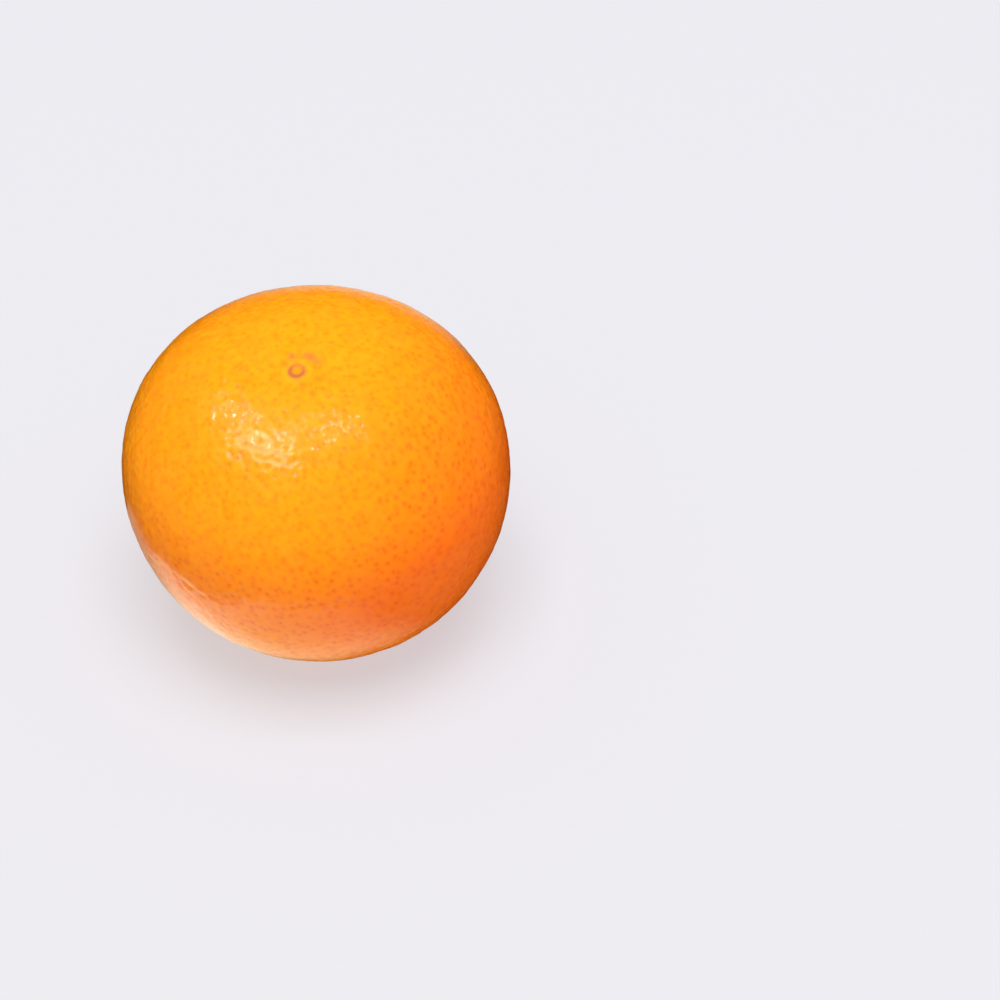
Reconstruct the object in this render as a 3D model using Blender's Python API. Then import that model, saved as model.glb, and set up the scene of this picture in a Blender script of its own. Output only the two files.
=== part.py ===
"""A mandarin-type orange, whole and unpeeled, as it rests on a table with its blossom end up.

The fruit is one solid. Its woody calyx, the button that stays on when the fruit is clipped from
the tree, is a second solid, seated in the dimple at the stem end.

Units are metres, +Z is up. The fruit is drawn in its own frame, +Z towards the blossom end and
-Z towards the stem end, and then leans as it lies. It touches the table with one small flat spot,
at z = 0, and the origin is on that spot, under the middle of the fruit.
"""

import math

import bmesh
import bpy
from mathutils import Matrix, Vector

# ---- Driving sizes (metres and degrees) ----

EQUATOR_DIAMETER = 0.0655  # across the middle, before the swellings
FRUIT_HEIGHT = 0.0600  # pole to pole, before the two hollows are pressed in

# Gentle swellings and hollows that make the fruit uneven, as grown:
# azimuth, latitude (towards the blossom end), spread, and height above the even shape.
SWELLINGS = (
    (150, 20, 30, 0.00090),
    (80, 35, 30, -0.00050),
    (25, 10, 28, 0.00055),
    (-50, -20, 30, 0.00090),
    (-120, -20, 30, 0.00040),
    (-155, -10, 30, -0.00070),
)

BLOSSOM_HOLLOW_DEPTH = 0.0005
BLOSSOM_HOLLOW_SPREAD = 0.0050
STEM_DIMPLE_DEPTH = 0.0019
STEM_DIMPLE_SPREAD = 0.0026

FURROW_COUNT = 9  # shallow folds that run out of the stem dimple, one over each segment wall
FURROW_DEPTH = 0.00018
FURROW_MIDDLE = 0.0058  # distance from the stem at which the folds are deepest
FURROW_REACH = 0.0018  # how quickly they fade on either side of that

CALYX_RADIUS = 0.0032  # to the tip of a lobe
CALYX_LOBES = 5
CALYX_NOTCH = 0.30  # how far the rim draws in between two lobes, as a share of the radius
CALYX_THICKNESS = 0.00075
STUB_RADIUS = 0.00125  # the fruit stalk, clipped off flush above the button
STUB_LENGTH = 0.0006
SEAT_GAP = 0.0003  # between the calyx and the rind under it

LEAN_FORWARD = 13.0  # the blossom end tips towards -Y
LEAN_LEFT = 6.0  # and towards -X
REST_SPOT_DEPTH = 0.00035  # how far the soft rind gives way where it carries the fruit

# ---- Fineness of the meshes ----

FRUIT_SEGMENTS = 64
FRUIT_RINGS = 40
POLE_CROWDING = 0.45  # draws the rings together at the poles, where the hollows are
CALYX_SEGMENTS = 40
CALYX_RINGS = 16

# ---- Colours and finishes ----

RIND_COLOUR = (0.93, 0.36, 0.02)
RIND_ROUGHNESS = 0.38
CALYX_COLOUR = (0.17, 0.15, 0.055)
CALYX_ROUGHNESS = 0.80


def bell(distance, spread):
    """1 at no distance, falling smoothly to nothing at about three spreads."""
    return math.exp(-0.5 * (distance / spread) ** 2)


def direction(azimuth, latitude):
    """The unit vector that points that way, both angles in radians."""
    level = math.cos(latitude)
    return Vector((level * math.cos(azimuth), level * math.sin(azimuth), math.sin(latitude)))


def swelling_height(outward):
    """How far the fruit stands proud of its even shape in that direction."""
    height = 0.0
    for azimuth, latitude, spread, rise in SWELLINGS:
        middle = direction(math.radians(azimuth), math.radians(latitude))
        height += rise * bell(outward.angle(middle), math.radians(spread))
    return height


def furrow_depth(azimuth, from_axis):
    """The folds between the segments, which show only round the stem dimple."""
    fold = 0.5 + 0.5 * math.cos(FURROW_COUNT * azimuth)
    return FURROW_DEPTH * fold**2 * bell(from_axis - FURROW_MIDDLE, FURROW_REACH)


def rind_point(from_blossom, azimuth):
    """A point of the rind. from_blossom runs from 0 at the blossom end to pi at the stem end."""
    from_axis = EQUATOR_DIAMETER / 2 * math.sin(from_blossom)
    along_axis = FRUIT_HEIGHT / 2 * math.cos(from_blossom)
    even = Vector((from_axis * math.cos(azimuth), from_axis * math.sin(azimuth), along_axis))
    point = even + even.normalized() * swelling_height(even)
    if along_axis > 0:
        point.z -= BLOSSOM_HOLLOW_DEPTH * bell(from_axis, BLOSSOM_HOLLOW_SPREAD)
    else:
        point.z += STEM_DIMPLE_DEPTH * bell(from_axis, STEM_DIMPLE_SPREAD)
        point.z += furrow_depth(azimuth, from_axis)
    return point


def stem_end_point(from_axis, azimuth):
    """The point of the rind at that distance from the fruit's axis, on the stem half."""
    return rind_point(math.pi - math.asin(2 * from_axis / EQUATOR_DIAMETER), azimuth)


def polar_angles(vertex):
    """The angle from +Z and the azimuth of a vertex of a unit sphere."""
    return math.acos(max(-1.0, min(1.0, vertex.co.z))), math.atan2(vertex.co.y, vertex.co.x)


def crowd_to_poles(angle):
    """Moves rings that are evenly spaced from 0 to pi closer together at both ends."""
    return angle - POLE_CROWDING / 2 * math.sin(2 * angle)


def principled(name, colour, roughness):
    material = bpy.data.materials.new(name)
    material.use_nodes = True
    shader = material.node_tree.nodes["Principled BSDF"]
    shader.inputs["Base Color"].default_value = (*colour, 1.0)
    shader.inputs["Roughness"].default_value = roughness
    shader.inputs["Metallic"].default_value = 0.0
    material.diffuse_color = (*colour, 1.0)
    return material


def object_from(bm, name, collection, material, parent=None):
    mesh = bpy.data.meshes.new(name)
    bm.to_mesh(mesh)
    bm.free()
    mesh.shade_smooth()
    mesh.materials.append(material)
    made = bpy.data.objects.new(name, mesh)
    made.parent = parent
    collection.objects.link(made)
    return made


def make_fruit(collection, parent):
    bm = bmesh.new()
    bmesh.ops.create_uvsphere(bm, u_segments=FRUIT_SEGMENTS, v_segments=FRUIT_RINGS, radius=1.0)
    for vertex in bm.verts:
        from_pole, azimuth = polar_angles(vertex)
        vertex.co = rind_point(crowd_to_poles(from_pole), azimuth)
    rind = principled("rind", RIND_COLOUR, RIND_ROUGHNESS)
    return object_from(bm, "fruit", collection, rind, parent)


def lobe_radius(azimuth):
    """The rim of the calyx: rounded lobes with a notch between each two."""
    notch = abs(math.sin(CALYX_LOBES * azimuth / 2)) ** 3
    return CALYX_RADIUS * (1 - CALYX_NOTCH * notch)


def calyx_point(from_face, azimuth):
    """A point of the calyx. from_face is 0 at the middle of the stub and pi at the middle of the seat.

    Its seat follows the rind, and its face stands off the seat by the button's thickness, which
    thins to the rim, with the clipped stub in the middle.
    """
    outwards = Vector((0, 0, -1))
    from_axis = lobe_radius(azimuth) * math.sin(from_face)
    seat = stem_end_point(from_axis, azimuth) + outwards * SEAT_GAP
    if from_face > math.pi / 2:
        return seat
    thickness = CALYX_THICKNESS * math.sqrt(math.cos(from_face))
    stub = STUB_LENGTH / (1 + (from_axis / STUB_RADIUS) ** 8)
    return seat + outwards * (thickness + stub)


def make_calyx(collection, parent):
    bm = bmesh.new()
    bmesh.ops.create_uvsphere(bm, u_segments=CALYX_SEGMENTS, v_segments=CALYX_RINGS, radius=1.0)
    for vertex in bm.verts:
        from_face, azimuth = polar_angles(vertex)
        vertex.co = calyx_point(from_face, azimuth)
    # The sphere's top has become the calyx's face, which points down, so the mesh is inside out.
    bmesh.ops.reverse_faces(bm, faces=bm.faces)
    wood = principled("calyx_wood", CALYX_COLOUR, CALYX_ROUGHNESS)
    return object_from(bm, "calyx", collection, wood, parent)


def world_bounds(thing):
    corners = [thing.matrix_world @ vertex.co for vertex in thing.data.vertices]
    low = Vector(min(corner[axis] for corner in corners) for axis in range(3))
    high = Vector(max(corner[axis] for corner in corners) for axis in range(3))
    return low, high


def set_down(axis_frame, fruit):
    """Leans the fruit, centres it over the origin and sinks its rest spot to the table."""
    lean = Matrix.Rotation(math.radians(-LEAN_LEFT), 4, "Y") @ Matrix.Rotation(
        math.radians(LEAN_FORWARD), 4, "X"
    )
    axis_frame.matrix_world = lean
    bpy.context.view_layer.update()
    low, high = world_bounds(fruit)
    middle = (low + high) / 2
    axis_frame.location = (-middle.x, -middle.y, -low.z - REST_SPOT_DEPTH)
    bpy.context.view_layer.update()


def press_rest_spot(fruit, cutters):
    """Takes off what would stand below the table, which leaves the small flat spot."""
    side = EQUATOR_DIAMETER
    bm = bmesh.new()
    bmesh.ops.create_cube(bm, size=side, matrix=Matrix.Translation((0, 0, -side / 2)))
    table = object_from(bm, "table_cutter", cutters, principled("cutter", (0.5, 0.5, 0.5), 0.5))
    table.hide_render = True
    table.display_type = "WIRE"
    flat = fruit.modifiers.new("rest_spot", "BOOLEAN")
    flat.operation = "DIFFERENCE"
    flat.solver = "EXACT"
    flat.object = table


def main():
    for old in list(bpy.data.objects):
        bpy.data.objects.remove(old)
    orange = bpy.data.collections.new("orange")
    cutters = bpy.data.collections.new("cutters")
    for collection in (orange, cutters):
        bpy.context.scene.collection.children.link(collection)

    axis_frame = bpy.data.objects.new("fruit_axis", None)
    orange.objects.link(axis_frame)
    fruit = make_fruit(orange, axis_frame)
    make_calyx(orange, axis_frame)
    set_down(axis_frame, fruit)
    press_rest_spot(fruit, cutters)


main()
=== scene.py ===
"""The looks of the orange: a rind with oil glands, a blossom scar and a waxy gloss, and its calyx.

Lengths are in metres and angles in degrees, in the frame of the CAD model, +Z up.
"""

import math

import bmesh
import bpy
import numpy as np
from mathutils import Matrix, Vector, kdtree, noise
from mathutils.bvhtree import BVHTree


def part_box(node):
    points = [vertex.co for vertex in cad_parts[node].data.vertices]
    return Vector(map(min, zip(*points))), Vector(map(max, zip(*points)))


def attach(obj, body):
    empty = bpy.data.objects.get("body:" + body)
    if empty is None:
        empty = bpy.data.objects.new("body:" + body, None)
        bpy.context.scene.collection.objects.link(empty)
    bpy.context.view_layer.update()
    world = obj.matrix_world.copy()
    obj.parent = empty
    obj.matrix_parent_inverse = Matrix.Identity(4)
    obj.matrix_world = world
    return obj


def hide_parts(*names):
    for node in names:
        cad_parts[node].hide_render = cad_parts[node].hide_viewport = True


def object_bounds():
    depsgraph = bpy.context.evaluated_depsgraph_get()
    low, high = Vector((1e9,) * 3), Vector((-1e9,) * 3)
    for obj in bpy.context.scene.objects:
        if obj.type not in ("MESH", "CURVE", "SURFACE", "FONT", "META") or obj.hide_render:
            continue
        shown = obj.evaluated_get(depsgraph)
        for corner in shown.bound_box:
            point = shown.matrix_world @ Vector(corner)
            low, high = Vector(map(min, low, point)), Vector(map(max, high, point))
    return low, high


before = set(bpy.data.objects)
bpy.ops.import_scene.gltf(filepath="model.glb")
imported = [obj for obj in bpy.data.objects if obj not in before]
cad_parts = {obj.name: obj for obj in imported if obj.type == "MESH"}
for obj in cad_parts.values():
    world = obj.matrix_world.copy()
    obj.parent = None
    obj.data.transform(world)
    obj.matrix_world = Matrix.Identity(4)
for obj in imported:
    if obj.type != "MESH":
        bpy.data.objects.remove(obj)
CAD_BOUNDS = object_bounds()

MM = 0.001
SEED = 11
NOISE_RANGE = (0.3, 0.7)  # where most values of a noise node lie
LAYER_SHIFT = Vector((17.3, -9.1, 5.7))  # from each layer of noise to the next

# ---- Camera ----

CAMERA_ELEVATION = 42.0
LENS = 100.0  # mm, on a sensor SENSOR wide
SENSOR = 36.0
CLIP = (0.01, 20.0)
FRAME_WIDTH = 0.170  # what the picture spans across, at the fruit
FRUIT_ACROSS = 0.3164  # where the middle of the fruit is in the picture, from its left edge
FRUIT_DOWN = 0.4706  # and from its top edge

# ---- Mesh of the rind ----

CELLS = 176  # along each edge of the cube that the grid is blown up from
CHART_MARGIN = 0.012  # left free round each chart of the map, as a share of the chart
CROWDING = 0.5  # how much closer the cells are at the blossom end than elsewhere
CROWD_ANGLE = 20.0  # how far from the blossom end that reaches
EVEN_OUT_ROUNDS = 320  # takes the flat facets out of the CAD shape
DIMPLE_ROUNDS = 12  # fewer in the stem dimple, which many would fill in
DIMPLE_REACH = 6.5 * MM

# ---- Relief of the rind: height, and the size of its features ----

LUMPS = ((0.13 * MM, 9.0 * MM), (0.045 * MM, 2.7 * MM), (0.062 * MM, 1.15 * MM))
GLAND_COUNT = 7000
GLAND_JITTER = 0.32  # of the space between two glands
GLAND_DEPTH = 0.042 * MM
GLAND_SPREAD = 0.27 * MM
GLAND_FAINTEST = 0.25  # the weakest gland beside the strongest
PIMPLE_SHARE = 0.25  # of the glands, those that stand up instead, close round the blossom end
PIMPLE_HEIGHT = 0.15 * MM
PIMPLE_SPREAD = 0.33 * MM
PIMPLE_REACH = 12.0 * MM  # from the blossom end
WRINKLES = 23  # fine folds that run out of the stem dimple
WRINKLE_DEPTH = 0.12 * MM
WRINKLE_MIDDLE = 5.2 * MM  # distance from the fruit's axis at which they are deepest
WRINKLE_REACH = 1.8 * MM
WRINKLE_WAVER = 2.4  # how far they wander from straight
WRINKLE_WAVER_SIZE = 3.0 * MM

# ---- Blossom scar, in its own plane: x across, y away from the front ----

SCAR_OFFSET = (1.2 * MM, -1.0 * MM)  # the scar sits a little off the fruit's axis
RING_RADIUS = 1.12 * MM
RING_SPREAD = 0.30 * MM
RING_HEIGHT = 0.10 * MM
RING_HOLLOW = 0.07 * MM
RING_HOLLOW_SPREAD = 0.6  # of the ring's radius
RING_UNEVENNESS = 0.35  # how much fainter the ring is on one side, and stronger on the other
RING_TURN = 20.0  # turns those two sides
HALO_RADIUS = 2.0 * MM
HALO_SPREAD = 0.35 * MM
ARC_MIDDLE = (0.5 * MM, -0.3 * MM)
ARC_RADIUS = 3.5 * MM
ARC_SPREAD = 0.48 * MM
ARC_HEIGHT = 0.03 * MM
ARC_STRETCHES = ((66.0, 13.0, 1.0), (113.0, 6.5, 1.0), (36.0, 7.0, 0.6))  # angle, spread, strength
SPOTS = (  # x, y, spread
    (1.0 * MM, -2.8 * MM, 0.45 * MM),
    (3.3 * MM, -1.6 * MM, 0.40 * MM),
    (2.6 * MM, -4.2 * MM, 0.40 * MM),
    (-2.1 * MM, 1.6 * MM, 0.45 * MM),
)

# ---- Marks: azimuth and latitude round the middle of the fruit ----

NICK = (173.0, 9.0)
NICK_SPREAD = 0.55 * MM
NICK_DEPTH = 0.20 * MM
SCUFFS = (((208, -7), (221, -4)), ((229, -2), (237, -5)), ((212, -10), (219, -9)))  # from, to
SCUFF_SPREAD = 0.22 * MM
SCUFF_TAPER = 1.5  # spreads in half of a scuff's length

# ---- Calyx ----

CALYX_CUTS = 2  # each CAD edge is cut this many times, for the finer shape
CALYX_RIBS = 15
CALYX_RIB_HEIGHT = 0.07 * MM
CALYX_GRAIN = ((0.06 * MM, 0.9 * MM), (0.03 * MM, 0.35 * MM))
CALYX_SMOOTHING = 0.4
CALYX_GRAIN_SIZE = 0.5 * MM
CALYX_GRAIN_HEIGHT = 0.05 * MM
CALYX_GRAIN_STRENGTH = 0.6
CALYX_WOOD = ((0.085, 0.070, 0.024), (0.24, 0.21, 0.08))  # darkest and lightest
CALYX_RIB_COLOUR = (0.30, 0.26, 0.11)
CALYX_RIB_SHARE = 0.5
CALYX_ROUGHNESS = (0.72, 0.88)
STUB_RADIUS = 1.2 * MM
STUB_WOOD = ((0.38, 0.29, 0.15), (0.58, 0.48, 0.28))
STUB_GRAIN_RANGE = (0.35, 0.65)

# ---- Rind colours and finish ----

# Painted shade: the rind is painted yellower where the light falls, up and to the left, and redder and
# darker towards its shaded right, front and lower side.
LIT_SIDE_COLOUR = (0.90, 0.310, 0.003)
SHADED_SIDE_COLOUR = (0.83, 0.140, 0.003)
PAINTED_SHADE_TOWARDS = (0.95, -0.20, -0.25)
PAINTED_SHADE_RANGE = (0.1, 1.6)
PATCH_SHIFT = 0.4  # how far random patches of redness shift the painted shade
PATCH_SIZE = 14 * MM
WAIST_HEIGHT = 27 * MM  # painted shade: the rind is painted redder round the waist, where less light falls than on its top and underside
WAIST_REACH = 16 * MM
WAIST_SHADE = 0.55
MOTTLE_COLOUR = (0.86, 0.17, 0.003)
MOTTLE_SIZE = 1.6 * MM
MOTTLE_RANGE = (0.38, 0.72)
MOTTLE_SHARE = 0.38
GLAND_COLOUR = (0.66, 0.060, 0.003)
GLANDS_SEEN = (0.0, 0.5, 0.38, 0.72)  # two amounts of painted shade, and the share of that colour at each, so the glands show less where the rind is painted lit
MARKS = {  # name: share, colour, and how much duller than the rind
    "stem": (0.60, (0.74, 0.36, 0.010), 0.15),
    "halo": (0.50, (0.95, 0.36, 0.010), 0.0),
    "spot": (0.60, (0.85, 0.16, 0.006), 0.0),
    "arc": (0.95, (0.62, 0.16, 0.030), 0.20),
    "ring": (0.95, (0.42, 0.115, 0.035), 0.25),
    "scuff": (0.55, (0.95, 0.50, 0.17), 0.20),
    "nick": (0.70, (0.30, 0.11, 0.02), 0.40),
}
RIND_ROUGHNESS = (0.22, 0.32)
RIND_GLOSS = 0.20
WAX_WEIGHT = 0.35  # a thin skin of wax, smoother than the rind under it, for sharp small glints
WAX_ROUGHNESS = 0.07
WAX_PATCH_SIZE = 5 * MM
GRAIN_SIZE = 0.30 * MM
GRAIN_HEIGHT = 0.02 * MM
GRAIN_STRENGTH = 0.25
SUBSURFACE = 0.30
SUBSURFACE_RADIUS = (1.0, 0.30, 0.08)
SUBSURFACE_SCALE = 1.6 * MM

# ---- Light and floor ----

SKY = (0.62, 0.614, 0.643)
FLOOR_HALF = 2.4
FLOOR_COLOUR = (0.200, 0.1985, 0.207)
FLOOR_TOOTH = 0.99  # how bright the hollows of the paper's tooth are beside its bumps
FLOOR_TOOTH_SIZE = 1.5 * MM
FLOOR_GLOW = (0.508, 0.507, 0.534)  # the paper is lit from below too, which keeps the shadow light
OVERHEAD_TOWARDS = (0.03, -0.22, 0.97)
OVERHEAD_DISTANCE = 3.0
OVERHEAD_SIZE = (2.0, 2.0)
OVERHEAD_POWER = 117.0
UNDER_SIZE = (0.16, 0.16)  # lies on the floor and lights the fruit's underside
UNDER_POWER = 0.057
LAMP_DISTANCE = 1.2  # of the key and the bulbs, which show only in gloss
KEY_TOWARDS = (-0.445, -0.385, 0.81)
KEY_ALONG = (0.80, -0.56, 0.20)
KEY_SIZE = (0.84, 0.24)
KEY_POWER = 3.6
# Where the small bulbs are that glint above the highlight: x and y of the direction to the middle
# of each group, and how far the bulbs of a group are scattered.
BULB_GROUPS = (
    (-0.65, 0.12),
    (-0.52, -0.06),
    (-0.38, -0.20),
    (-0.15, -0.28),
    (0.05, -0.28),
    (0.25, -0.28),
    (0.40, -0.26),
)
BULBS_IN_GROUP = 3
BULB_SCATTER = 0.09
BULB_SIZE = 0.05
BULB_POWER = (0.08, 0.30)

# ---- Glowing cards on the floor, which only gloss sees: their glow paints the light on the floor and the fruit's shadow ----

CARD_LIFT = 0.02 * MM  # above the floor
CARD_COLOUR = (1.0, 1.10, 0.95, 1.0)
NEAR_CARD = (  # x and y of its corners
    (-0.057, 0.020),
    (-0.056, -0.014),
    (-0.040, -0.034),
    (-0.028, -0.066),
    (0.045, -0.070),
    (0.045, 0.020),
)
# Each fade gives two places on the card and how strongly it shines at them.
NEAR_LEFT_FADE = (-0.033, -0.008, 1.35, 0.85)  # along x
NEAR_RIGHT_FADE = (0.008, 0.030, 1.0, 0.0)
NEAR_BACK_FADE = (-0.018, 0.002, 1.0, 0.25)  # along y
FRUIT_SHADOW_MIDDLE = (0.008, 0.0, 0.0)  # the middle of the painted shadow of the fruit
FRUIT_SHADOW_FADE = (0.019, 0.031, 0.0, 1.0)  # along the distance from there
FAR_CARD = ((-0.5, 0.05), (0.5, 0.05), (0.5, 0.6), (-0.5, 0.6))
FAR_LEAN = 0.07  # x over y of the line along which the far card shines most
FAR_SIDE_FADE = (0.05, 0.52, 1.0, 0.0)  # along the difference from that, either way
FAR_BACK_FADE = (0.06, 0.40, 0.65, 0.08)  # along y


def bell(distance, spread):
    """1 at no distance, falling smoothly to nothing at about three spreads."""
    return np.exp(-0.5 * (distance / spread) ** 2)


def unit(vector):
    vector = np.asarray(vector, float)
    return vector / np.linalg.norm(vector)


def middle_of(node):
    low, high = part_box(node)
    return np.array((low + high) / 2)


# ---- Nodes ----


def add_node(tree, kind, inputs, **settings):
    """A shader node. inputs maps each input's name or number to a value or to another node's output."""
    made = tree.nodes.new(kind)
    for name, value in settings.items():
        setattr(made, name, value)
    for name, value in inputs.items():
        if isinstance(value, bpy.types.NodeSocket):
            tree.links.new(value, made.inputs[name])
        else:
            made.inputs[name].default_value = value
    return made


def calculate(tree, operation, *values):
    return add_node(tree, "ShaderNodeMath", dict(enumerate(values)), operation=operation).outputs[0]


def calculate_vector(tree, operation, first, second):
    return add_node(tree, "ShaderNodeVectorMath", {0: first, 1: second}, operation=operation).outputs


def split(tree, vector):
    """The x, y and z of the vector."""
    return add_node(tree, "ShaderNodeSeparateXYZ", {0: vector}).outputs


def object_place(tree):
    return add_node(tree, "ShaderNodeTexCoord", {}).outputs["Object"]


def from_range(tree, value, low, high, to_low=0.0, to_high=1.0):
    """value, taken smoothly from the range low to high into the range to_low to to_high."""
    inputs = {"Value": value, "From Min": low, "From Max": high, "To Min": to_low, "To Max": to_high}
    return add_node(tree, "ShaderNodeMapRange", inputs, interpolation_type="SMOOTHSTEP").outputs[0]


def mix_colours(tree, share, first, second):
    """first where share is 0 and second where it is 1."""
    inputs = {0: share, 6: colour(first), 7: colour(second)}
    return add_node(tree, "ShaderNodeMix", inputs, data_type="RGBA").outputs[2]


def colour(value):
    return value if isinstance(value, bpy.types.NodeSocket) else (*value, 1.0)


def noise_node(tree, place, size, detail=2.0, roughness=0.5):
    """Noise whose features are about that size."""
    inputs = {"Vector": place, "Scale": 1 / size, "Detail": detail, "Roughness": roughness}
    return add_node(tree, "ShaderNodeTexNoise", inputs).outputs[0]


def attribute(tree, name):
    return add_node(tree, "ShaderNodeAttribute", {}, attribute_name=name).outputs["Fac"]


def add_bump(tree, shader, field, strength, height):
    """Roughens the shader's surface by the field, which is at most that high."""
    bump = add_node(tree, "ShaderNodeBump", {"Strength": strength, "Distance": height, "Height": field})
    tree.links.new(bump.outputs[0], shader.inputs["Normal"])


def new_material(name):
    """(material, node tree, its Principled shader)"""
    material = bpy.data.materials.new(name)
    material.use_nodes = True
    tree = material.node_tree
    return material, tree, tree.nodes["Principled BSDF"]


# ---- The rind's grid ----


def cube_sphere(cells):
    """(directions, quads, map corners) of a grid on the unit sphere, blown up from the sides of a cube.

    Each side is one square chart of the map, and the charts lie three across and two up.
    """
    lines = np.tan(np.linspace(-1, 1, cells + 1) * math.pi / 4)
    across, up = np.meshgrid(lines, lines, indexing="ij")
    sides = []
    for axis in range(3):
        for sign in (1, -1):
            side = np.empty((*across.shape, 3))
            side[..., axis] = sign
            side[..., (axis + 1) % 3] = across * sign
            side[..., (axis + 2) % 3] = up
            sides.append(side)
    points = np.array(sides)
    points /= np.linalg.norm(points, axis=-1, keepdims=True)
    # The sides share the points along their edges, which round to the same place.
    places = np.round(points.reshape(-1, 3) * 1e6).astype(np.int64)
    _, first, numbers = np.unique(places, axis=0, return_index=True, return_inverse=True)
    directions = points.reshape(-1, 3)[first]
    numbers = numbers.reshape(points.shape[:3])
    shares = np.linspace(CHART_MARGIN, 1 - CHART_MARGIN, cells + 1)
    chart = np.stack(np.meshgrid(shares, shares, indexing="ij"), axis=-1)
    charts = np.array([(chart + (side % 3, side // 3)) / (3, 2) for side in range(6)])
    return directions, corners_of_cells(numbers), corners_of_cells(charts)


def corners_of_cells(grid):
    """For each cell of the six grids, what the grid holds at its four corners, anticlockwise."""
    corners = (grid[:, :-1, :-1], grid[:, 1:, :-1], grid[:, 1:, 1:], grid[:, :-1, 1:])
    stacked = np.stack(corners, axis=3)
    return stacked.reshape(-1, *stacked.shape[3:])


def crowd_towards(directions, pole):
    """The directions, drawn together round the pole, where the finest detail is."""
    reach = math.radians(CROWD_ANGLE)
    along = np.clip(directions @ pole, -1, 1)
    angle = np.arccos(along)
    sideways = directions - along[:, None] * pole
    sideways /= np.maximum(np.linalg.norm(sideways, axis=1, keepdims=True), 1e-9)
    drawn = angle - CROWDING * reach * np.tanh(angle / reach)
    drawn *= math.pi / (math.pi - CROWDING * reach * math.tanh(math.pi / reach))
    return np.cos(drawn)[:, None] * pole + np.sin(drawn)[:, None] * sideways


def evened(values, quads, rounds):
    """The values with each one drawn towards its neighbours' average, that many times."""
    starts = quads.reshape(-1)
    ends = np.roll(quads, -1, axis=1).reshape(-1)
    neighbours = np.bincount(starts, minlength=len(values))
    for _ in range(rounds):
        total = np.bincount(starts, weights=values[ends], minlength=len(values))
        values = (values + total / neighbours) / 2
    return values


def surface_of(node):
    """The CAD node's surface, ready for rays to be cast at it."""
    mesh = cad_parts[node].data
    corners = [vertex.co for vertex in mesh.vertices]
    return BVHTree.FromPolygons(corners, [tuple(face.vertices) for face in mesh.polygons])


def stem_end():
    """(middle of the calyx, direction of the fruit's axis from there to the blossom end)."""
    corners = np.array([vertex.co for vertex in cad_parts["calyx"].data.vertices])
    middle = corners.mean(axis=0)
    thinnest = np.linalg.svd(corners - middle, full_matrices=False)[2][2]
    return middle, thinnest * np.sign(thinnest @ (middle_of("fruit") - middle))


def round_axis(points, middle, blossom):
    """(the angle of each point round the fruit's axis, its distance from the axis)"""
    beside = unit(np.cross(blossom, (0, 1, 0)))
    beyond = np.cross(blossom, beside)
    outwards = points - middle
    turn = np.arctan2(outwards @ beyond, outwards @ beside)
    return turn, np.linalg.norm(np.cross(outwards, blossom), axis=1)


# ---- The rind's relief ----


def noise_field(points, size, layer):
    """Smooth noise between about -1 and 1, with features about that size."""
    shift = LAYER_SHIFT * layer
    return np.array([noise.noise(Vector(point) / size + shift) for point in points])


def towards(azimuth, latitude):
    """The direction that points that way, both in degrees."""
    azimuth, latitude = math.radians(azimuth), math.radians(latitude)
    level = math.cos(latitude)
    return np.array((level * math.cos(azimuth), level * math.sin(azimuth), math.sin(latitude)))


def gland_field(points, centre, radius):
    """From 0 to 1, how deep each point lies in the pore of an oil gland, and how far up a pimple."""
    random = np.random.default_rng(SEED)
    steps = np.arange(GLAND_COUNT) + 0.5
    height = 1 - 2 * steps / GLAND_COUNT
    turn = steps * math.pi * (3 - math.sqrt(5))
    level = np.sqrt(1 - height**2)
    glands = np.stack((level * np.cos(turn), level * np.sin(turn), height), axis=1)
    space = math.sqrt(4 * math.pi / GLAND_COUNT)
    glands += random.normal(0, GLAND_JITTER * space, glands.shape)
    glands /= np.linalg.norm(glands, axis=1, keepdims=True)
    strength = random.uniform(GLAND_FAINTEST, 1, GLAND_COUNT)
    tree = kdtree.KDTree(GLAND_COUNT)
    for number, gland in enumerate(glands):
        tree.insert(gland * radius, number)
    tree.balance()
    outwards = points - centre
    outwards *= radius / np.linalg.norm(outwards, axis=1, keepdims=True)
    found = [tree.find(Vector(point))[1:] for point in outwards]
    number, distance = np.array(found).T
    number = number.astype(int)
    raised = random.uniform(0, 1, GLAND_COUNT) < PIMPLE_SHARE
    pimple = raised[number] * strength[number] * bell(distance, PIMPLE_SPREAD)
    return strength[number] * bell(distance, GLAND_SPREAD), pimple


def scar_fields(across, away, near_blossom):
    """The ring, halo, arc, spots and hollow middle of the blossom scar, by name, each from 0 to 1."""
    from_middle = np.hypot(across, away)
    turn = np.degrees(np.arctan2(away, across))
    evenness = 1.0 - RING_UNEVENNESS * np.sin(np.radians(turn + RING_TURN))
    ring = bell(from_middle - RING_RADIUS, RING_SPREAD) * evenness
    halo = bell(from_middle - HALO_RADIUS, HALO_SPREAD)
    arc_across, arc_away = across - ARC_MIDDLE[0], away - ARC_MIDDLE[1]
    arc_turn = np.degrees(np.arctan2(arc_away, arc_across))
    on_arc = bell(np.hypot(arc_across, arc_away) - ARC_RADIUS, ARC_SPREAD)
    stretches = sum(strength * bell(arc_turn - angle, spread) for angle, spread, strength in ARC_STRETCHES)
    fields = {
        "ring": ring,
        "halo": halo,
        "arc": on_arc * stretches,
        "spot": sum(bell(np.hypot(across - x, away - y), spread) for x, y, spread in SPOTS),
        "hollow": bell(from_middle, RING_RADIUS * RING_HOLLOW_SPREAD),
    }
    return {name: np.clip(field, 0, 1) * near_blossom for name, field in fields.items()}


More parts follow.
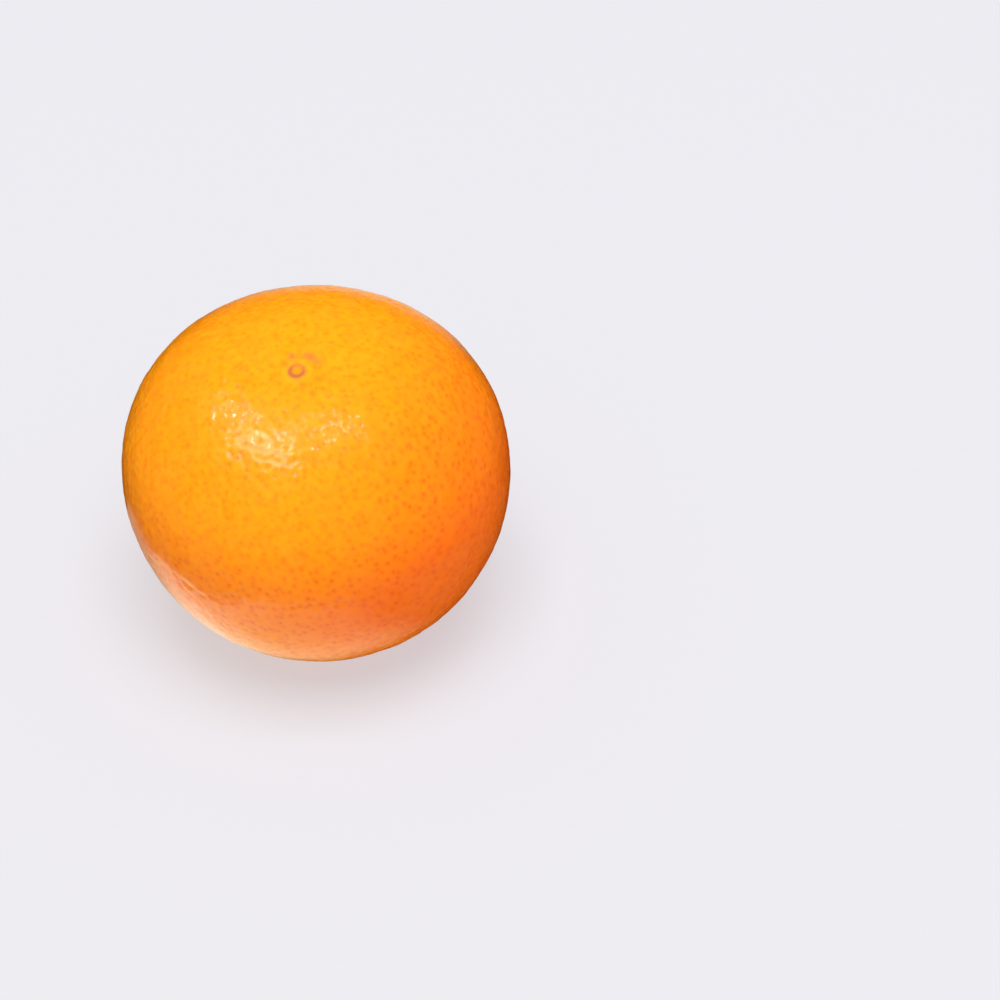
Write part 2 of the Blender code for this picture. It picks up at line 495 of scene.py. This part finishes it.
def scuff_field(directions, radius):
    """From 0 to 1, how much each point is rubbed by the thin scuffs."""
    rubbed = np.zeros(len(directions))
    for start, end in SCUFFS:
        start, end = towards(*start), towards(*end)
        middle = unit(start + end)
        from_line = directions @ unit(np.cross(start, end)) * radius
        from_middle = np.arccos(np.clip(directions @ middle, -1, 1)) * radius
        half_length = math.acos(start @ middle) * radius
        streak = bell(from_line, SCUFF_SPREAD) * bell(from_middle, half_length / SCUFF_TAPER)
        rubbed = np.maximum(rubbed, streak)
    return rubbed


def wrinkle_field(points, button, blossom):
    """From -1 to 1, the fine folds round the stem end."""
    turn, from_axis = round_axis(points, button, blossom)
    wavering = noise_field(points, WRINKLE_WAVER_SIZE, len(LUMPS))
    stem_half = (points - button) @ blossom < from_axis
    folds = np.cos(WRINKLES * turn + WRINKLE_WAVER * wavering)
    return folds * bell(from_axis - WRINKLE_MIDDLE, WRINKLE_REACH) * stem_half


# ---- Pieces ----


def mesh_piece(name, points, faces, material):
    mesh = bpy.data.meshes.new(name)
    mesh.from_pydata(points, [], faces)
    mesh.shade_smooth()
    mesh.materials.append(material)
    made = bpy.data.objects.new(name, mesh)
    bpy.context.scene.collection.objects.link(made)
    return made


def store(mesh, name, values):
    layer = mesh.attributes.new(name, "FLOAT", "POINT")
    layer.data.foreach_set("value", np.asarray(values, np.float32))


def rind_fields(points, directions, centre, pole, blossom, radius):
    """Every mark and bump of the rind by name: how strong it is at each point, from 0 to 1."""
    gland, pimple = gland_field(points, centre, radius)
    pimple *= bell(np.linalg.norm(points - pole, axis=1), PIMPLE_REACH)
    away = unit(np.cross(blossom, (1, 0, 0)))
    across = np.cross(away, blossom)
    from_pole = points - pole
    near_blossom = (directions @ blossom > 0.5).astype(float)  # keeps the scar off the stem end
    fields = scar_fields(
        from_pole @ across - SCAR_OFFSET[0], from_pole @ away - SCAR_OFFSET[1], near_blossom
    )
    fields["gland"] = gland
    fields["pimple"] = pimple
    fields["nick"] = bell(np.linalg.norm(directions - towards(*NICK), axis=1) * radius, NICK_SPREAD)
    fields["scuff"] = scuff_field(directions, radius)
    return fields


def rind_relief(points, fields):
    """How far each point of the rind stands above its smooth shape."""
    scarred = np.clip(fields["ring"] + fields["arc"] + fields["hollow"], 0, 1)
    relief = (PIMPLE_HEIGHT * fields["pimple"] - GLAND_DEPTH * fields["gland"]) * (1 - scarred)
    for layer, (height, size) in enumerate(LUMPS):
        relief += height * noise_field(points, size, layer)
    relief += RING_HEIGHT * fields["ring"] - RING_HOLLOW * fields["hollow"]
    relief += ARC_HEIGHT * fields["arc"]
    relief -= WRINKLE_DEPTH * fields["wrinkle"] + NICK_DEPTH * fields["nick"]
    return relief


def make_rind():
    """The CAD fruit's surface on a fine even grid, with the rind's relief on it and its marks stored."""
    centre = middle_of("fruit")
    button, blossom = stem_end()
    surface = surface_of("fruit")
    inside = button + blossom * 0.2 * centre[2]  # the fruit, between its stem end and its middle
    pole = np.array(surface.ray_cast(Vector(inside), Vector(blossom))[0])
    directions, quads, charts = cube_sphere(CELLS)
    directions = crowd_towards(directions, unit(pole - centre))
    cast = np.array([surface.ray_cast(Vector(centre), Vector(way))[3] for way in directions])

    _, from_axis = round_axis(centre + directions * cast[:, None], button, blossom)
    dimple = bell(from_axis, DIMPLE_REACH) * (directions @ blossom < 0)
    even = evened(cast, quads, EVEN_OUT_ROUNDS)
    close = evened(cast, quads, DIMPLE_ROUNDS)
    radius = even + (close - even) * np.clip(dimple * 2, 0, 1)
    points = centre + directions * radius[:, None]

    fields = rind_fields(points, directions, centre, pole, blossom, cast.mean())
    fields["stem"] = dimple
    fields["wrinkle"] = wrinkle_field(points, button, blossom)
    radius = radius + rind_relief(points, fields)
    points = centre + directions * radius[:, None]
    points[:, 2] = np.maximum(points[:, 2], 0.0)

    piece = mesh_piece("rind_skin", points.tolist(), quads.tolist(), rind_material(centre))
    chart_layer = piece.data.uv_layers.new(name="OFBake")
    chart_layer.data.foreach_set("uv", charts.reshape(-1).astype(np.float32))
    for name in ("gland", *MARKS):
        store(piece.data, name, fields[name])
    return piece


def marked(tree, ground, name, strength, mark_colour):
    """The ground colour with the mark of that name laid over it."""
    share = calculate(tree, "MULTIPLY", attribute(tree, name), strength)
    return mix_colours(tree, share, ground, mark_colour)


def rind_material(centre):
    material, tree, shader = new_material("orange_rind")
    place = object_place(tree)
    outwards = calculate_vector(tree, "SUBTRACT", place, tuple(centre))[0]
    # Painted shade: redder towards the shaded side and round the waist, shifted by random patches of
    # redness.
    shade_way = tuple(unit(PAINTED_SHADE_TOWARDS) / np.linalg.norm(centre))
    facing = calculate_vector(tree, "DOT_PRODUCT", outwards, shade_way)["Value"]
    patches = noise_node(tree, place, PATCH_SIZE, detail=3.0)
    leaning = calculate(tree, "MULTIPLY_ADD", patches, PATCH_SHIFT, facing)
    _, _, height = split(tree, place)
    from_waist = calculate(tree, "ABSOLUTE", calculate(tree, "SUBTRACT", height, WAIST_HEIGHT))
    waist_shade = from_range(tree, from_waist, 0.0, WAIST_REACH, WAIST_SHADE, 0.0)
    painted_shade = calculate(tree, "ADD", waist_shade, from_range(tree, leaning, *PAINTED_SHADE_RANGE))
    ground = mix_colours(tree, painted_shade, LIT_SIDE_COLOUR, SHADED_SIDE_COLOUR)

    mottling = noise_node(tree, place, MOTTLE_SIZE, detail=4.0, roughness=0.65)
    mottled = from_range(tree, mottling, *MOTTLE_RANGE, 0.0, MOTTLE_SHARE)
    ground = mix_colours(tree, mottled, ground, MOTTLE_COLOUR)
    # The glands are painted stronger where the painted shade is deeper.
    glands_seen = from_range(tree, painted_shade, *GLANDS_SEEN)
    ground = marked(tree, ground, "gland", glands_seen, GLAND_COLOUR)

    wax = noise_node(tree, place, WAX_PATCH_SIZE, detail=3.0)
    roughness = from_range(tree, wax, *NOISE_RANGE, *RIND_ROUGHNESS)
    for name, (share, mark_colour, duller) in MARKS.items():
        ground = marked(tree, ground, name, share, mark_colour)
        roughness = calculate(tree, "MULTIPLY_ADD", attribute(tree, name), duller, roughness)
    tree.links.new(ground, shader.inputs["Base Color"])
    tree.links.new(roughness, shader.inputs["Roughness"])

    shader.inputs["Subsurface Weight"].default_value = SUBSURFACE
    shader.inputs["Subsurface Radius"].default_value = SUBSURFACE_RADIUS
    shader.inputs["Subsurface Scale"].default_value = SUBSURFACE_SCALE
    shader.inputs["Specular IOR Level"].default_value = RIND_GLOSS
    shader.inputs["Coat Weight"].default_value = WAX_WEIGHT
    shader.inputs["Coat Roughness"].default_value = WAX_ROUGHNESS

    grain = noise_node(tree, place, GRAIN_SIZE, detail=2.0)
    add_bump(tree, shader, grain, GRAIN_STRENGTH, GRAIN_HEIGHT)
    return material


def calyx_material():
    material, tree, shader = new_material("calyx_wood")
    place = object_place(tree)
    grain = noise_node(tree, place, CALYX_GRAIN_SIZE, detail=5.0, roughness=0.7)
    ground = mix_colours(tree, from_range(tree, grain, *NOISE_RANGE), *CALYX_WOOD)
    ground = marked(tree, ground, "rib", CALYX_RIB_SHARE, CALYX_RIB_COLOUR)
    stub = mix_colours(tree, from_range(tree, grain, *STUB_GRAIN_RANGE), *STUB_WOOD)
    ground = mix_colours(tree, attribute(tree, "stub"), ground, stub)
    tree.links.new(ground, shader.inputs["Base Color"])
    roughness = from_range(tree, grain, *NOISE_RANGE, *CALYX_ROUGHNESS)
    tree.links.new(roughness, shader.inputs["Roughness"])
    add_bump(tree, shader, grain, CALYX_GRAIN_STRENGTH, CALYX_GRAIN_HEIGHT)
    return material


def make_calyx():
    """The CAD calyx with a finer shape: ribs that run out along its lobes, and a rough clipped stub."""
    fine = bmesh.new()
    fine.from_mesh(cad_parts["calyx"].data)
    bmesh.ops.triangulate(fine, faces=fine.faces)
    bmesh.ops.subdivide_edges(
        fine, edges=fine.edges, cuts=CALYX_CUTS, smooth=CALYX_SMOOTHING, use_grid_fill=True
    )
    fine.normal_update()
    points = np.array([vertex.co for vertex in fine.verts])
    normals = np.array([vertex.normal for vertex in fine.verts])
    faces = [[corner.index for corner in face.verts] for face in fine.faces]
    fine.free()

    middle, blossom = stem_end()
    turn, from_axis = round_axis(points, middle, blossom)
    showing = np.clip(-(normals @ blossom), 0, 1)
    stub = 1 / (1 + (from_axis / STUB_RADIUS) ** 8)  # 1 on the stub, 0 outside it
    rib = (0.5 + 0.5 * np.cos(CALYX_RIBS * turn)) * showing * (1 - stub)
    relief = CALYX_RIB_HEIGHT * (rib - 0.5)
    for layer, (height, size) in enumerate(CALYX_GRAIN):
        relief += height * noise_field(points, size, layer)
    points += normals * (relief * showing)[:, None]

    piece = mesh_piece("calyx_button", points.tolist(), faces, calyx_material())
    store(piece.data, "rib", rib)
    store(piece.data, "stub", stub * showing)
    return piece


# ---- Floor, light and camera ----


def make_floor():
    material, tree, shader = new_material("floor_paper")
    place = object_place(tree)
    tooth = from_range(tree, noise_node(tree, place, FLOOR_TOOTH_SIZE), *NOISE_RANGE)
    darker = tuple(FLOOR_TOOTH * value for value in FLOOR_COLOUR)
    ground = mix_colours(tree, tooth, FLOOR_COLOUR, darker)
    tree.links.new(ground, shader.inputs["Base Color"])
    shader.inputs["Roughness"].default_value = 1.0
    shader.inputs["Specular IOR Level"].default_value = 0.0
    shader.inputs["Emission Color"].default_value = (*FLOOR_GLOW, 1.0)
    shader.inputs["Emission Strength"].default_value = 1.0
    half = FLOOR_HALF
    corners = [(-half, -half, 0), (half, -half, 0), (half, half, 0), (-half, half, 0)]
    floor = mesh_piece("floor", corners, [(0, 1, 2, 3)], material)
    floor.visible_glossy = False


def area_light(name, direction, distance, size, power, along=(1, 0, 0)):
    """A rectangular lamp in that direction from the fruit, facing it, with its width running along."""
    facing = unit(direction)
    across = unit(np.asarray(along) - (facing @ np.asarray(along)) * facing)
    up = np.cross(facing, across)
    lamp = bpy.data.lights.new(name, "AREA")
    lamp.shape = "RECTANGLE"
    lamp.size, lamp.size_y = size
    lamp.energy = power
    made = bpy.data.objects.new(name, lamp)
    bpy.context.scene.collection.objects.link(made)
    turned = Matrix(np.stack((across, up, facing), axis=1)).to_4x4()
    turned.translation = Vector(middle_of("fruit") + facing * distance)
    made.matrix_world = turned
    made.visible_camera = False
    return made


def make_lights():
    """Two lamps light the fruit, and the others show only in its gloss."""
    overhead = area_light("overhead", OVERHEAD_TOWARDS, OVERHEAD_DISTANCE, OVERHEAD_SIZE, OVERHEAD_POWER)
    overhead.visible_glossy = False
    under_distance = middle_of("fruit")[2] - CARD_LIFT
    under = area_light("under", (0, 0, -1), under_distance, UNDER_SIZE, UNDER_POWER)
    under.visible_glossy = False
    key = area_light("key", KEY_TOWARDS, LAMP_DISTANCE, KEY_SIZE, KEY_POWER, along=KEY_ALONG)
    key.visible_diffuse = False
    random = np.random.default_rng(SEED)
    for group in BULB_GROUPS:
        for x, y in random.normal(group, BULB_SCATTER, (BULBS_IN_GROUP, 2)):
            direction = (x, y, math.sqrt(1 - x**2 - y**2))
            power = random.uniform(*BULB_POWER)
            bulb = area_light("bulb", direction, LAMP_DISTANCE, (BULB_SIZE, BULB_SIZE), power)
            bulb.visible_diffuse = False


def glow_card(name, outline, strength_at):
    """A glowing card on the floor that only gloss sees, painting a lit patch of floor, with its strength
    given by strength_at.
    """
    material = bpy.data.materials.new(name)
    material.use_nodes = True
    tree = material.node_tree
    tree.nodes.clear()
    place = object_place(tree)
    strength = strength_at(tree, place)
    glow = add_node(tree, "ShaderNodeEmission", {"Color": CARD_COLOUR, "Strength": strength})
    add_node(tree, "ShaderNodeOutputMaterial", {0: glow.outputs[0]})
    corners = [(x, y, CARD_LIFT) for x, y in outline]
    card = mesh_piece(name, corners, [tuple(range(len(corners)))], material)
    card.visible_camera = False
    card.visible_diffuse = False
    card.visible_shadow = False


def near_strength(tree, place):
    """Painted light brightest at the front left, and painted shadow on the right and under the fruit."""
    x, y, _ = split(tree, place)
    strength = from_range(tree, x, *NEAR_LEFT_FADE)
    strength = calculate(tree, "MULTIPLY", strength, from_range(tree, x, *NEAR_RIGHT_FADE))
    strength = calculate(tree, "MULTIPLY", strength, from_range(tree, y, *NEAR_BACK_FADE))
    offset = calculate_vector(tree, "DISTANCE", place, FRUIT_SHADOW_MIDDLE)["Value"]
    return calculate(tree, "MULTIPLY", strength, from_range(tree, offset, *FRUIT_SHADOW_FADE))


def far_strength(tree, place):
    """Painted light, brightest straight behind the fruit, and fading to both sides and into the distance.
    """
    x, y, _ = split(tree, place)
    slant = calculate(tree, "SUBTRACT", calculate(tree, "DIVIDE", x, y), FAR_LEAN)
    sideways = from_range(tree, calculate(tree, "ABSOLUTE", slant), *FAR_SIDE_FADE)
    return calculate(tree, "MULTIPLY", sideways, from_range(tree, y, *FAR_BACK_FADE))


def make_cards():
    glow_card("near_glow_card", NEAR_CARD, near_strength)
    glow_card("far_glow_card", FAR_CARD, far_strength)


def make_world():
    world = bpy.data.worlds.new("studio")
    bpy.context.scene.world = world
    world.use_nodes = True
    background = world.node_tree.nodes["Background"]
    background.inputs["Color"].default_value = (*SKY, 1.0)
    background.inputs["Strength"].default_value = 1.0
    world.cycles_visibility.glossy = False


def make_camera():
    """Places the camera so that the fruit has its place and size in the picture."""
    low, high = CAD_BOUNDS
    middle = (low + high) / 2
    elevation = math.radians(CAMERA_ELEVATION)
    back = Vector((0, -math.cos(elevation), math.sin(elevation)))
    up = Vector((0, math.sin(elevation), math.cos(elevation)))
    aim = middle + Vector((1, 0, 0)) * (0.5 - FRUIT_ACROSS) * FRAME_WIDTH
    aim += up * (FRUIT_DOWN - 0.5) * FRAME_WIDTH
    lens = bpy.data.cameras.new("camera")
    lens.lens, lens.sensor_width = LENS, SENSOR
    lens.clip_start, lens.clip_end = CLIP
    camera = bpy.data.objects.new("camera", lens)
    bpy.context.scene.collection.objects.link(camera)
    camera.location = aim + back * (LENS * FRAME_WIDTH / SENSOR)
    camera.rotation_mode = "QUATERNION"
    camera.rotation_quaternion = back.to_track_quat("Z", "Y")
    bpy.context.scene.camera = camera


bpy.context.scene.view_settings.view_transform = "Standard"
rind = make_rind()
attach(rind, "root")
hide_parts("fruit")
calyx = make_calyx()
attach(calyx, "root")
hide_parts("calyx")
make_floor()
make_world()
make_cards()
make_lights()
make_camera()
